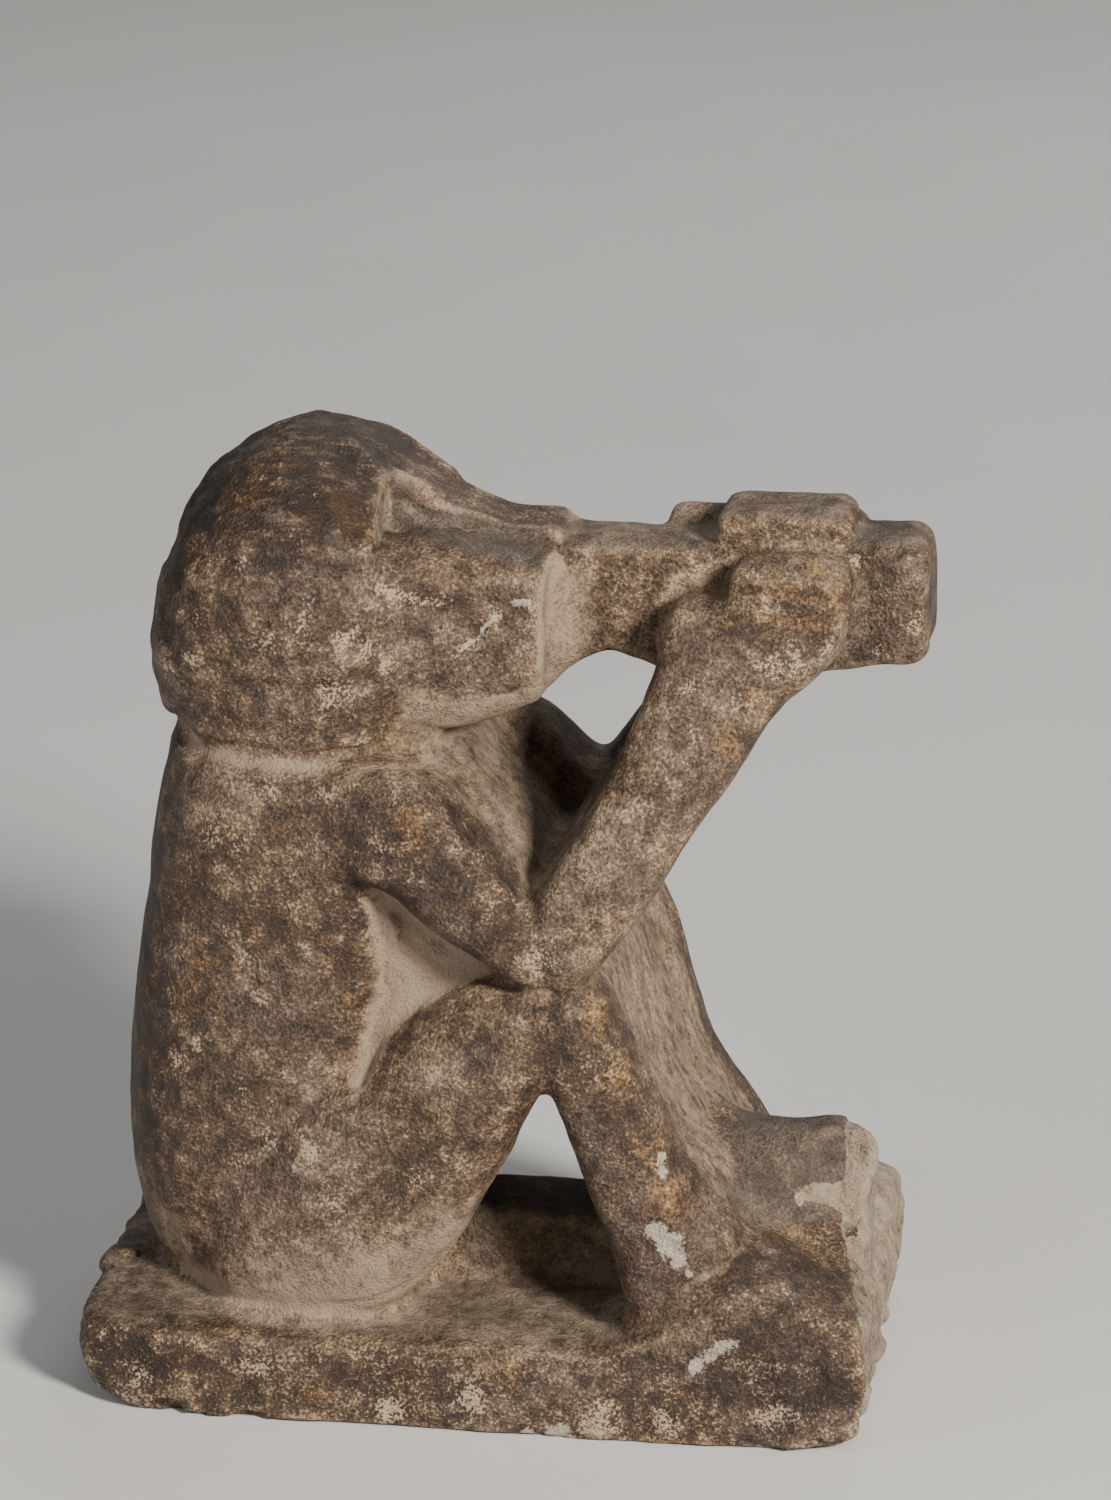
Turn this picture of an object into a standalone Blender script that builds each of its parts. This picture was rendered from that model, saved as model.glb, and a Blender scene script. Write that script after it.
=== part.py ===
"""A small limestone figurine of a squatting baboon that lifts a vessel to its mouth.

Everything is carved from one stone: the low plinth, the feet, the animal and the vessel are one solid.
The figure faces +X, +Z is up, and the origin is at the middle of the plinth's flat underside. Metres.
"""

import math

import bmesh
import bpy
from mathutils import Matrix

# Driving sizes

FIGURE_HEIGHT = 0.0900
FIGURE_FORWARD = 0.0025
PLINTH_LENGTH = 0.0830
PLINTH_WIDTH = 0.0490
PLINTH_THICKNESS = 0.0100
FRONT_SKEW = 0.0012
FOOT_RISE = 0.0094
BLOCK_WIDTH = 0.0120
BLOCK_RISE = 0.0075
STUMP_RISE = 0.0166
SHIN_WEB_HALF = 0.0150
LEFT_SHIN_SETBACK = 0.0020
VESSEL_WIDTH = 0.0104
VESSEL_DEPTH = 0.0122

# The figure is drawn in millimetres above the plinth's top, for a figure this tall.
DRAWN_HEIGHT = 90.0
UNIT = FIGURE_HEIGHT / DRAWN_HEIGHT
MM = 0.001

# Where the stone has broken off the stump, in drawn millimetres.
BREAK_CENTRE = (38.0, -12.0, 19.1)
BREAK_RADII = (12.0, 12.0, 14.5)

RING_POINTS = 40
STEPS_BETWEEN_STATIONS = 4
FUSE_VOXEL = 0.0006
CUT_VOXEL = 0.0005
WEAR_PASSES = 4
KEPT_SHARE_OF_FACES = 0.041

STONE_COLOUR = (0.23, 0.165, 0.115, 1.0)
STONE_ROUGHNESS = 0.85


def catmull_rom(t, before, start, end, after):
    """The value a share t of the way from start to end."""
    square = (2 * before - 5 * start + 4 * end - after) * t ** 2
    cube = (3 * start - before - 3 * end + after) * t ** 3
    return 0.5 * (2 * start + (end - before) * t + square + cube)


def smooth_stations(stations):
    """The stations with more between each pair, on a Catmull-Rom curve through them all."""
    filled = []
    last = len(stations) - 1
    for i in range(last):
        neighbours = [stations[min(max(k, 0), last)] for k in (i - 1, i, i + 1, i + 2)]
        for step in range(STEPS_BETWEEN_STATIONS):
            t = step / STEPS_BETWEEN_STATIONS
            filled.append(tuple(catmull_rom(t, *values) for values in zip(*neighbours)))
    filled.append(stations[last])
    return filled


def section(top, low, mid_y, half_y, squareness):
    """One closed ring through two outline points seen from the side, half_y wide on both sides of mid_y."""
    centre_x = (top[0] + low[0]) / 2
    centre_z = (top[1] + low[1]) / 2
    reach_x = (top[0] - low[0]) / 2
    reach_z = (top[1] - low[1]) / 2
    power = 2.0 / squareness
    points = []
    for i in range(RING_POINTS):
        angle = 2 * math.pi * i / RING_POINTS
        along = math.copysign(abs(math.sin(angle)) ** power, math.sin(angle))
        across = math.copysign(abs(math.cos(angle)) ** power, math.cos(angle))
        points.append((centre_x + reach_x * along, mid_y + half_y * across, centre_z + reach_z * along))
    return points


def loft(stone, rings):
    """Adds one closed shell to the stone, skinned over rings of points."""
    rows = [[stone.verts.new(p) for p in ring] for ring in rings]
    faces = []
    for near, far in zip(rows, rows[1:]):
        for i in range(RING_POINTS):
            j = (i + 1) % RING_POINTS
            faces.append(stone.faces.new((near[i], near[j], far[j], far[i])))
    faces.append(stone.faces.new(rows[0]))
    faces.append(stone.faces.new(rows[-1]))
    bmesh.ops.recalc_face_normals(stone, faces=faces)


def drawn(x, z):
    """A point of the figure's side view in metres, from drawn millimetres."""
    return FIGURE_FORWARD + x * UNIT, PLINTH_THICKNESS + z * UNIT


def figure_loft(stone, stations, squareness, side=1):
    """One mass of the figure. A station is (top x, top z, low x, low z, mid y, half y), in drawn units."""
    rings = []
    for top_x, top_z, low_x, low_z, mid_y, half_y in smooth_stations(stations):
        top, low = drawn(top_x, top_z), drawn(low_x, low_z)
        rings.append(section(top, low, side * mid_y * UNIT, half_y * UNIT, squareness))
    loft(stone, rings)


def plinth(stone):
    """The slab: rounded at its ends, more below than above, its front cut askew."""
    half = PLINTH_LENGTH / 2
    wide = PLINTH_WIDTH / 2
    # millimetres in from the end, rise of the underside, drop of the top, narrowing of each side
    rear = [(0.0, 4.6, 2.4, 8.5), (0.6, 3.1, 1.2, 4.6), (2.2, 1.6, 0.4, 1.9)]
    rear += [(5.0, 0.5, 0.0, 0.5), (9.5, -1.0, 0.0, 0.0)]
    front = [(7.0, -1.0, 0.0, 0.0), (3.2, 0.2, 0.0, 0.2), (1.2, 1.4, 0.4, 1.0), (0.0, 3.6, 1.2, 2.4)]
    ends = [(-half + inset * MM, 0.0, rise, drop, narrow) for inset, rise, drop, narrow in rear]
    ends += [(half - inset * MM, FRONT_SKEW, rise, drop, narrow) for inset, rise, drop, narrow in front]
    rings = []
    for x, skew, rise, drop, narrow in ends:
        ring = section((x, PLINTH_THICKNESS - drop * MM), (x, rise * MM), 0, wide - narrow * MM, 7)
        rings.append([(px - skew * (py + wide) / PLINTH_WIDTH, py, pz) for px, py, pz in ring])
    loft(stone, rings)


def foot(stone, side):
    """A wedge flush with the plinth's side: it climbs from the heel to the instep and falls to the toes."""
    inner = BLOCK_WIDTH / 2 - 1.0 * MM
    outer = PLINTH_WIDTH / 2 - 0.3 * MM
    mid = side * (inner + outer) / 2
    heel = drawn(11.0, 0)[0]
    toe = PLINTH_LENGTH / 2 - FRONT_SKEW * (mid / PLINTH_WIDTH + 0.5)
    # share of the way from heel to toe, share of the foot's rise
    profile = [(0.0, 0.0), (0.14, 0.3), (0.28, 0.66), (0.42, 0.96), (0.52, 1.0), (0.62, 0.91), (0.74, 0.76),
               (0.87, 0.6), (0.95, 0.46), (0.985, 0.3), (1.0, 0.02)]
    rings = []
    for share, rise in profile:
        x = heel + (toe - heel) * share
        top = PLINTH_THICKNESS + FOOT_RISE * rise
        rings.append(section((x, top), (x, PLINTH_THICKNESS / 3), mid, (outer - inner) / 2, 2.7))
    loft(stone, rings)


def middle_block(stone):
    """The low mass that lies between the legs and runs from the belly to the stump at the front."""
    top = PLINTH_THICKNESS + BLOCK_RISE
    rings = []
    for drawn_x in (-12.0, 0.0, 12.0, 26.0):
        x = drawn(drawn_x, 0)[0]
        rings.append(section((x, top), (x, PLINTH_THICKNESS / 2), 0, BLOCK_WIDTH / 2, 5))
    loft(stone, rings)


def stump(stone):
    """What is left of the mass between the feet: it sweeps out of the shins and flares at its foot."""
    front = PLINTH_LENGTH / 2
    back = drawn(16.0, 0)[0]
    side_points = RING_POINTS // 2
    # share of the rise, setback of the front in millimetres, half width, share of the sweep
    levels = [(-0.3, 1.4, 2.3, 1.0), (0.2, 1.5, 1.95, 0.95), (0.38, 1.6, 1.5, 0.86),
              (0.52, 1.7, 1.16, 0.7), (0.7, 1.9, 0.92, 0.45), (0.88, 2.2, 0.76, 0.22),
              (0.96, 2.6, 0.64, 0.14), (1.0, 3.4, 0.42, 0.1)]
    rings = []
    for rise, setback, width, sweep in levels:
        z = PLINTH_THICKNESS + STUMP_RISE * rise
        narrow = BLOCK_WIDTH / 2 * width
        side = []
        for i in range(side_points):
            share = i / (side_points - 1)
            x = back + (front - setback * MM - back) * share
            rounding = math.sqrt(max(0.0, 1 - share ** 12))
            half = narrow * rounding + sweep * (SHIN_WEB_HALF - narrow) * (1 - share) ** 2
            side.append((x, half, z))
        rings.append(side + [(x, -half, z) for x, half, z in reversed(side)])
    loft(stone, rings)


def torso(stone):
    figure_loft(stone, [
        (-34.0, -4.0, -8.0, -4.0, 0, 14.0),
        (-37.6, 1.5, -6.5, 1.5, 0, 15.5),
        (-39.4, 6.0, -6.0, 6.0, 0, 17.3),
        (-40.6, 12.0, -6.0, 12.0, 0, 18.6),
        (-41.0, 19.0, -6.0, 19.0, 0, 19.0),
        (-40.4, 28.0, -6.0, 28.0, 0, 18.6),
        (-39.4, 36.0, -4.0, 35.0, 0, 18.2),
        (-38.5, 43.0, -2.0, 41.0, 0, 18.7),
        (-37.3, 50.0, -2.0, 48.0, 0, 19.4),
        (-36.4, 54.5, -4.5, 54.0, 0, 19.0),
        (-35.5, 58.0, -7.0, 59.0, 0, 17.0),
        (-33.0, 61.0, -9.0, 62.0, 0, 14.5),
    ], 2.5)


def belly(stone):
    """The recessed stone left between arms and thighs, as far as where the elbows rest on the knees."""
    figure_loft(stone, [
        (-22.0, 50.0, -20.0, 18.0, 0, 16.5),
        (-10.0, 49.0, -8.0, 22.0, 0, 16.2),
        (0.0, 44.0, 0.0, 30.0, 0, 15.6),
        (5.5, 40.0, 5.5, 33.0, 0, 15.0),
    ], 3.5)


def thigh(stone, side):
    figure_loft(stone, [
        (-31.0, 14.0, -31.0, -2.0, 10.0, 5.0),
        (-27.0, 19.0, -28.0, -4.0, 11.5, 7.6),
        (-21.0, 24.0, -21.0, -4.0, 12.6, 8.9),
        (-15.0, 27.5, -13.0, -2.0, 13.2, 9.2),
        (-11.5, 30.0, -6.8, 4.6, 14.0, 8.6),
        (-8.0, 33.2, -2.6, 10.7, 14.8, 8.0),
        (-4.0, 36.0, 1.5, 18.6, 15.6, 7.2),
        (0.5, 37.6, 4.2, 24.0, 16.4, 6.6),
        (6.0, 38.0, 7.5, 28.5, 17.0, 6.2),
        (9.5, 37.0, 10.0, 31.5, 17.2, 5.2),
    ], 2.5, side)


def shin(stone, side):
    """The left shin's front is set back a little from the right one's."""
    setback = LEFT_SHIN_SETBACK / UNIT if side > 0 else 0.0
    figure_loft(stone, [
        (4.0, 38.2, 2.5, 33.5, 17.2, 4.6),
        (9.0, 38.6, 4.0, 29.5, 17.2, 5.8),
        (12.1, 35.0, 5.2, 26.3, 17.0, 5.9),
        (14.6 - 0.1 * setback, 29.5, 7.0, 22.0, 16.8, 5.8),
        (17.4 - 0.75 * setback, 23.3, 9.0, 16.0, 16.6, 5.8),
        (20.2 - setback, 17.5, 10.8, 11.0, 16.4, 6.0),
        (25.0 - 0.5 * setback, 10.0, 13.0, 4.0, 16.2, 6.4),
        (27.0, 4.0, 14.5, -2.0, 16.2, 6.6),
    ], 3.0, side)


def shin_web(stone):
    """The stone left between the shins, set back a little from their fronts."""
    figure_loft(stone, [
        (7.0, 39.0, 4.0, 34.0, 0, 12.0),
        (10.6, 36.6, 7.2, 30.5, 0, 15.0),
        (13.4, 28.6, 9.5, 23.5, 0, 15.0),
        (17.4, 20.3, 12.6, 15.0, 0, 15.0),
        (22.6, 13.5, 15.0, 5.0, 0, 14.0),
        (26.0, 6.0, 17.0, -2.0, 0, 12.0),
    ], 4.0)


def upper_arm(stone, side):
    figure_loft(stone, [
        (-27.0, 53.0, -28.0, 42.0, 11.5, 4.0),
        (-20.0, 58.0, -22.5, 42.5, 13.4, 5.2),
        (-13.0, 59.6, -16.5, 45.6, 14.8, 5.7),
        (-6.3, 58.0, -11.5, 46.2, 16.0, 6.3),
        (-1.5, 52.8, -6.0, 42.6, 16.9, 6.4),
        (3.0, 47.2, 0.5, 39.2, 17.6, 6.2),
        (6.0, 44.5, 5.0, 37.2, 17.8, 5.6),
        (8.0, 42.0, 7.5, 38.5, 17.8, 4.2),
    ], 2.8, side)


def chest(stone):
    """The slope from the throat down to the crook of the arms."""
    figure_loft(stone, [
        (-12.0, 62.0, -20.0, 50.0, 0, 14.0),
        (-6.6, 59.4, -16.0, 44.0, 0, 16.0),
        (-1.5, 53.8, -10.0, 40.0, 0, 17.0),
        (3.2, 48.0, -2.0, 37.0, 0, 17.0),
        (5.5, 44.0, 2.0, 37.0, 0, 16.0),
    ], 3.5)


def left_crook(stone):
    """The stone left higher in the crook of the left arm than in the right one."""
    figure_loft(stone, [
        (-6.0, 60.0, -10.0, 50.0, 13.0, 4.0),
        (0.0, 56.0, -4.0, 46.0, 13.5, 5.6),
        (5.0, 51.4, 4.0, 42.0, 14.0, 6.4),
        (7.6, 51.8, 8.0, 44.0, 14.0, 6.4),
        (10.6, 57.0, 14.0, 48.0, 13.0, 5.6),
        (12.4, 61.0, 18.0, 54.0, 12.0, 4.0),
    ], 2.8)


def forearm(stone, side):
    figure_loft(stone, [
        (1.4, 41.5, 5.6, 36.6, 17.8, 4.4),
        (2.8, 45.6, 8.8, 37.6, 17.8, 5.8),
        (5.8, 49.8, 13.8, 43.6, 17.0, 6.0),
        (10.0, 56.4, 19.0, 51.6, 15.0, 5.8),
        (13.5, 64.0, 24.2, 60.1, 12.3, 5.4),
        (15.0, 69.0, 28.0, 65.4, 10.4, 5.2),
        (15.7, 73.0, 31.4, 68.4, 9.2, 4.8),
        (17.0, 75.4, 33.4, 70.8, 8.6, 4.4),
    ], 3.0, side)


def forearm_web(stone):
    """The stone left between the forearms near the elbows."""
    figure_loft(stone, [
        (1.6, 42.0, 5.8, 37.0, 0, 16.0),
        (4.2, 47.0, 9.6, 40.5, 0, 15.5),
        (7.6, 51.8, 13.2, 46.2, 0, 14.5),
        (11.0, 57.2, 16.4, 52.4, 0, 12.5),
        (13.0, 61.0, 18.0, 57.2, 0, 10.0),
    ], 3.5)


def mane(stone):
    figure_loft(stone, [
        (-36.9, 69.5, -36.9, 64.5, 0, 5.0),
        (-36.3, 74.6, -36.4, 61.2, 0, 9.8),
        (-34.6, 79.9, -35.0, 58.8, 0, 13.2),
        (-31.9, 84.1, -32.0, 58.0, 0, 15.8),
        (-27.7, 87.5, -27.8, 57.8, 0, 17.4),
        (-23.0, 89.2, -23.0, 58.0, 0, 18.1),
        (-18.0, 88.9, -18.0, 58.2, 0, 18.0),
        (-14.0, 87.4, -14.0, 58.8, 0, 16.9),
        (-11.0, 85.6, -11.0, 59.4, 0, 14.8),
        (-9.2, 83.8, -9.2, 60.4, 0, 12.4),
    ], 2.3)


def muzzle(stone):
    figure_loft(stone, [
        (-18.0, 82.4, -18.0, 60.4, 0, 15.4),
        (-12.0, 81.7, -12.0, 59.6, 0, 14.0),
        (-7.0, 81.0, -7.4, 59.8, 0, 12.6),
        (-2.0, 80.4, -2.4, 61.2, 0, 11.4),
        (1.4, 80.0, 1.0, 62.6, 0, 10.8),
        (3.1, 79.6, 2.7, 63.6, 0, 10.6),
        (3.7, 79.2, 3.3, 64.3, 0, 10.1),
    ], 5.0)


def nose_ridge(stone):
    """The raised bridge that runs from the brow to the end of the muzzle."""
    figure_loft(stone, [
        (-15.0, 87.2, -15.0, 78.0, 0, 6.4),
        (-11.0, 85.7, -11.0, 78.0, 0, 5.8),
        (-9.0, 84.6, -9.0, 78.0, 0, 5.3),
        (-6.5, 82.8, -6.5, 77.0, 0, 5.0),
        (-1.4, 81.1, -1.4, 76.0, 0, 4.9),
        (3.2, 80.7, 3.2, 76.0, 0, 4.8),
        (4.6, 80.3, 4.6, 76.0, 0, 4.6),
    ], 5.0)


def vessel(stone):
    """The bar-shaped vessel between muzzle and hands, deepest and widest at its far end."""
    # drawn x, drawn height of the top, share of the depth, share of the half width
    stations = [
        (0.0, 79.4, 1.3, 1.6),
        (3.6, 79.4, 1.24, 1.5),
        (5.0, 79.4, 1.13, 1.22),
        (6.6, 79.4, 1.04, 1.06),
        (9.0, 79.4, 0.96, 0.98),
        (12.0, 79.4, 1.02, 0.96),
        (16.0, 79.5, 1.16, 0.98),
        (22.0, 79.8, 1.2, 1.0),
        (30.0, 80.5, 1.15, 1.1),
        (36.0, 81.0, 1.12, 1.18),
        (39.8, 80.9, 1.07, 1.2),
        (41.2, 80.2, 0.96, 1.1),
        (41.8, 79.0, 0.78, 0.95),
    ]
    rings = []
    for x, top_z, depth, width in stations:
        top = drawn(x, top_z)
        low = (top[0], top[1] - VESSEL_DEPTH * depth)
        rings.append(section(top, low, 0, VESSEL_WIDTH / 2 * width, 4.5))
    loft(stone, rings)


def hand(stone, side):
    """The back of the hand and the row of fingers laid along the vessel's side."""
    figure_loft(stone, [
        (16.2, 74.0, 16.6, 68.5, 8.6, 3.4),
        (17.6, 75.6, 18.5, 66.5, 8.8, 4.0),
        (21.6, 76.4, 23.0, 66.0, 8.9, 4.2),
        (23.2, 79.6, 25.0, 66.2, 8.7, 4.2),
        (27.0, 80.6, 28.5, 67.2, 8.6, 4.2),
        (32.0, 80.6, 31.5, 68.6, 8.5, 4.0),
        (34.0, 79.4, 33.6, 71.0, 8.3, 3.6),
        (34.7, 77.4, 34.4, 73.0, 8.2, 2.8),
    ], 3.4, side)


def fingers_over(stone):
    """The left hand's fingers, which lie across the vessel's top, and its thumb along the far edge."""
    figure_loft(stone, [
        (20.6, 82.0, 20.6, 77.0, 0.5, 4.6),
        (21.4, 83.0, 21.4, 77.0, 0.5, 5.2),
        (27.0, 83.3, 27.0, 77.0, 0.5, 5.3),
        (32.6, 83.2, 32.6, 77.0, 0.5, 5.1),
        (33.8, 81.6, 33.8, 77.0, 0.5, 4.4),
    ], 4.0)
    figure_loft(stone, [
        (14.6, 79.8, 14.6, 75.0, 5.6, 1.6),
        (15.4, 80.6, 15.4, 75.0, 5.8, 2.4),
        (22.0, 81.0, 22.0, 75.0, 5.6, 2.6),
    ], 3.5)


def build_stone():
    """All the overlapping masses as shells of one mesh."""
    stone = bmesh.new()
    for mass in (plinth, middle_block, stump, torso, belly, chest, left_crook, shin_web, forearm_web,
                 mane, muzzle, nose_ridge, vessel, fingers_over):
        mass(stone)
    for side in (-1, 1):
        for mass in (foot, thigh, shin, upper_arm, forearm, hand):
            mass(stone, side)
    return stone


def build_cuts():
    """What is taken away once the masses are one."""
    cuts = bmesh.new()
    for side in (-1, 1):
        eye_hollow(cuts, side)
        muzzle_hollow(cuts, side)
    stump_break(cuts)
    return cuts


def eye_hollow(cuts, side):
    """A boxy pocket for the eye, with an upright wall at the mane's edge."""
    figure_loft(cuts, [
        (-12.9, 86.0, -12.9, 80.0, 11.6, 5.6),
        (-12.7, 86.3, -12.7, 79.7, 11.6, 5.8),
        (-10.2, 85.7, -10.2, 79.9, 11.4, 5.6),
        (-10.0, 85.3, -10.0, 80.2, 11.4, 5.4),
    ], 7, side)


def muzzle_hollow(cuts, side):
    """The long hollow beside the nose's ridge."""
    figure_loft(cuts, [
        (-10.8, 87.0, -10.8, 81.0, 7.6, 2.6),
        (-7.0, 86.4, -7.0, 80.0, 7.5, 2.9),
        (-2.0, 85.6, -2.0, 79.4, 7.4, 2.9),
        (2.0, 85.0, 2.0, 79.0, 7.3, 2.9),
        (5.5, 84.4, 5.5, 78.4, 7.3, 2.9),
    ], 2.2, side)


def stump_break(cuts):
    """A rounded scoop off the stump's front on its right side, where the stone has broken away."""
    x, z = drawn(BREAK_CENTRE[0], BREAK_CENTRE[2])
    placed = Matrix.Translation((x, BREAK_CENTRE[1] * UNIT, z)) @ Matrix.Diagonal((*BREAK_RADII, 1.0))
    bmesh.ops.create_icosphere(cuts, subdivisions=4, radius=UNIT, matrix=placed)


def new_collection(name):
    collection = bpy.data.collections.new(name)
    bpy.context.scene.collection.children.link(collection)
    return collection


def mesh_object(name, shells, collection):
    mesh = bpy.data.meshes.new(name)
    shells.to_mesh(mesh)
    shells.free()
    made = bpy.data.objects.new(name, mesh)
    collection.objects.link(made)
    return made


def ground_box():
    """A box whose upper face is the plane of the underside."""
    box = bmesh.new()
    bmesh.ops.create_cube(box, size=2 * PLINTH_LENGTH)
    bmesh.ops.translate(box, verts=box.verts, vec=(0, 0, -PLINTH_LENGTH))
    return box


def fuse_shells(target, voxel):
    fuse = target.modifiers.new("fuse", "REMESH")
    fuse.mode = "VOXEL"
    fuse.voxel_size = voxel


def add_modifiers(figurine, cuts, ground):
    """Fuses the shells, carves them, wears the edges, thins the mesh and planes the underside flat."""
    fuse_shells(figurine, FUSE_VOXEL)
    fuse_shells(cuts, CUT_VOXEL)
    carve = figurine.modifiers.new("carve", "BOOLEAN")
    carve.operation = "DIFFERENCE"
    carve.object = cuts
    fuse_shells(figurine, FUSE_VOXEL)
    wear = figurine.modifiers.new("wear", "SMOOTH")
    wear.factor = 0.5
    wear.iterations = WEAR_PASSES
    thin = figurine.modifiers.new("thin", "DECIMATE")
    thin.ratio = KEPT_SHARE_OF_FACES
    plane_off = figurine.modifiers.new("plane off", "BOOLEAN")
    plane_off.operation = "DIFFERENCE"
    plane_off.object = ground


def limestone():
    stone = bpy.data.materials.new("limestone")
    stone.use_nodes = True
    shader = stone.node_tree.nodes["Principled BSDF"]
    shader.inputs["Base Color"].default_value = STONE_COLOUR
    shader.inputs["Roughness"].default_value = STONE_ROUGHNESS
    return stone


def main():
    for old in list(bpy.data.objects):
        bpy.data.objects.remove(old)
    parts = new_collection("baboon_figurine")
    cutters = new_collection("cutters")
    figurine = mesh_object("baboon_figurine", build_stone(), parts)
    cuts = mesh_object("carving_cuts", build_cuts(), cutters)
    ground = mesh_object("ground", ground_box(), cutters)
    for cutter in (cuts, ground):
        cutter.hide_render = True
        cutter.display_type = "WIRE"
    add_modifiers(figurine, cuts, ground)
    figurine.data.materials.append(limestone())


main()
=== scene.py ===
"""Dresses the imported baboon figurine: one weathered limestone carving on a pale floor, in soft light.

Places on the stone are in carving millimetres: x forward, y to the figure's left, and z up from the plinth's
top under the body.
"""

import itertools
import math

import bpy
import numpy as np
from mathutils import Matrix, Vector
from mathutils.bvhtree import BVHTree


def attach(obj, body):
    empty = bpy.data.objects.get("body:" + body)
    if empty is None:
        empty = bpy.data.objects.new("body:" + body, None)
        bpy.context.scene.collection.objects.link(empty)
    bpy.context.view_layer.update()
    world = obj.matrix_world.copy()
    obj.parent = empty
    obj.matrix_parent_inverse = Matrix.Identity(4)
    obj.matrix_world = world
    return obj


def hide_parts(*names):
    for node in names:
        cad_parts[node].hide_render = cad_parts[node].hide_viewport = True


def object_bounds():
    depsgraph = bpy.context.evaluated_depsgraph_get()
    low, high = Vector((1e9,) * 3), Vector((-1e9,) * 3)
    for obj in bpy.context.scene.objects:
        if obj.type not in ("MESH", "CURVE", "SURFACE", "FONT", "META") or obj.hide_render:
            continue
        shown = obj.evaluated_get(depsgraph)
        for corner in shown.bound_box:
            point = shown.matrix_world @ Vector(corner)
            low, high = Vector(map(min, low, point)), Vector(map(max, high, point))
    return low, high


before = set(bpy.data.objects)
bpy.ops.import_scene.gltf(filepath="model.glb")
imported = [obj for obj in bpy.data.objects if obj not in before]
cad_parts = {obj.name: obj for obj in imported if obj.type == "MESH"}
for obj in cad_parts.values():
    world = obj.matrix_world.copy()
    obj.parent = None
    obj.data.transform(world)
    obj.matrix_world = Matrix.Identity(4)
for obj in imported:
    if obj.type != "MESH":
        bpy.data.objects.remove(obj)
cad_low, cad_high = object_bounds()

MM = 0.001
CARVING_ORIGIN = np.array((2.5, 0.0, 10.0))
PLINTH_UNDERSIDE = -10.0

STONE_VOXEL = 0.00042
MOST_TRIANGLES = 192000

# How many times each kind of smoothing passes over the surface
FLOWING_PASSES = 130
WORN_PASSES = 7
CRISP_PASSES = 45
FINE_PASSES = 5
WIDE_PASSES = 60

# Rays sent out from each point of the stone to see how sheltered it is, with lengths in millimetres
SHELTER_RAYS = 14
SHELTER_REACH = 14.0
RAY_START = 0.15

RUST_DARK = (0.058, 0.028, 0.011, 1)
RUST_LIGHT = (0.300, 0.160, 0.058, 1)
TAN = (0.290, 0.205, 0.128, 1)
CREAM = (0.460, 0.352, 0.232, 1)
# Near black: painted shade under the arms and in narrow creases, with dirt in the creases
SHADE_AND_DIRT = (0.022, 0.014, 0.009, 1)

FIGURE_MIDDLE = (0.0, 0.0, 0.045)

CAMERA_TARGET = (0.00283, 0.02003, 0.05905)
CAMERA_PLACE = (0.10919, -0.68322, 0.29703)
CAMERA_LENS = 171.1


# Small tools

def choose(made):
    """Selects one object alone and makes it the active one."""
    bpy.ops.object.select_all(action="DESELECT")
    made.select_set(True)
    bpy.context.view_layer.objects.active = made


def finish_with(made, kind, **settings):
    """Adds one modifier to an object and applies it."""
    choose(made)
    bpy.ops.object.modifier_add(type=kind)
    modifier = made.modifiers[-1]
    for name, value in settings.items():
        setattr(modifier, name, value)
    bpy.ops.object.modifier_apply(modifier=modifier.name)


def fade(distance, reach):
    """1 at no distance, falling smoothly to 0 at this reach."""
    share = np.clip(1 - distance / reach, 0, 1)
    return share * share * (3 - 2 * share)


def rise(value, low, high):
    """0 up to low, rising smoothly to 1 from high on."""
    share = np.clip((value - low) / (high - low), 0, 1)
    return share * share * (3 - 2 * share)


def within(values, low, high, edge):
    """1 between two numbers, fading out over an edge on both sides."""
    return rise(values, low - edge, low) * rise(-values, -high - edge, -high)


def lattice(cells, seed):
    """A fixed random number from -1 to 1 for every cell."""
    mixed = (cells[:, 0] * 73856093) ^ (cells[:, 1] * 19349663) ^ (cells[:, 2] * 83492791)
    mixed = mixed ^ (seed * 2654435761)
    mixed = (mixed ^ (mixed >> 13)) * 1274126177 & 0x7FFFFFFF
    mixed = (mixed ^ (mixed >> 16)) & 0xFFFF
    return mixed / 32767.5 - 1


def lumps(points, size, seed):
    """Smooth random heights from -1 to 1, in lumps of about this many millimetres."""
    cells = np.floor(points / size).astype(np.int64)
    share = points / size - cells
    share = share * share * (3 - 2 * share)
    total = np.zeros(len(points))
    for corner in itertools.product((0, 1), repeat=3):
        weight = np.prod(np.where(corner, share, 1 - share), axis=1)
        total += weight * lattice(cells + np.array(corner), seed)
    return total


def layered(points, *layers):
    """Lumps of several sizes together, each given as height, size and seed."""
    return sum(height * lumps(points, size, seed) for height, size, seed in layers)


def to_path(points, path):
    """How far each point is from a path of straight pieces."""
    nearest = np.full(len(points), np.inf)
    path = np.array(path, float)
    for start, end in zip(path, path[1:]):
        along = end - start
        share = np.clip((points - start) @ along / (along @ along), 0, 1)
        nearest = np.minimum(nearest, np.linalg.norm(points - start - share[:, None] * along, axis=1))
    return nearest


def other_side(path):
    """The same path on the left side of the figure."""
    return [(x, -y, z) for x, y, z in path]


def both_sides(paths):
    return paths + [other_side(path) for path in paths]


# The stone

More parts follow.
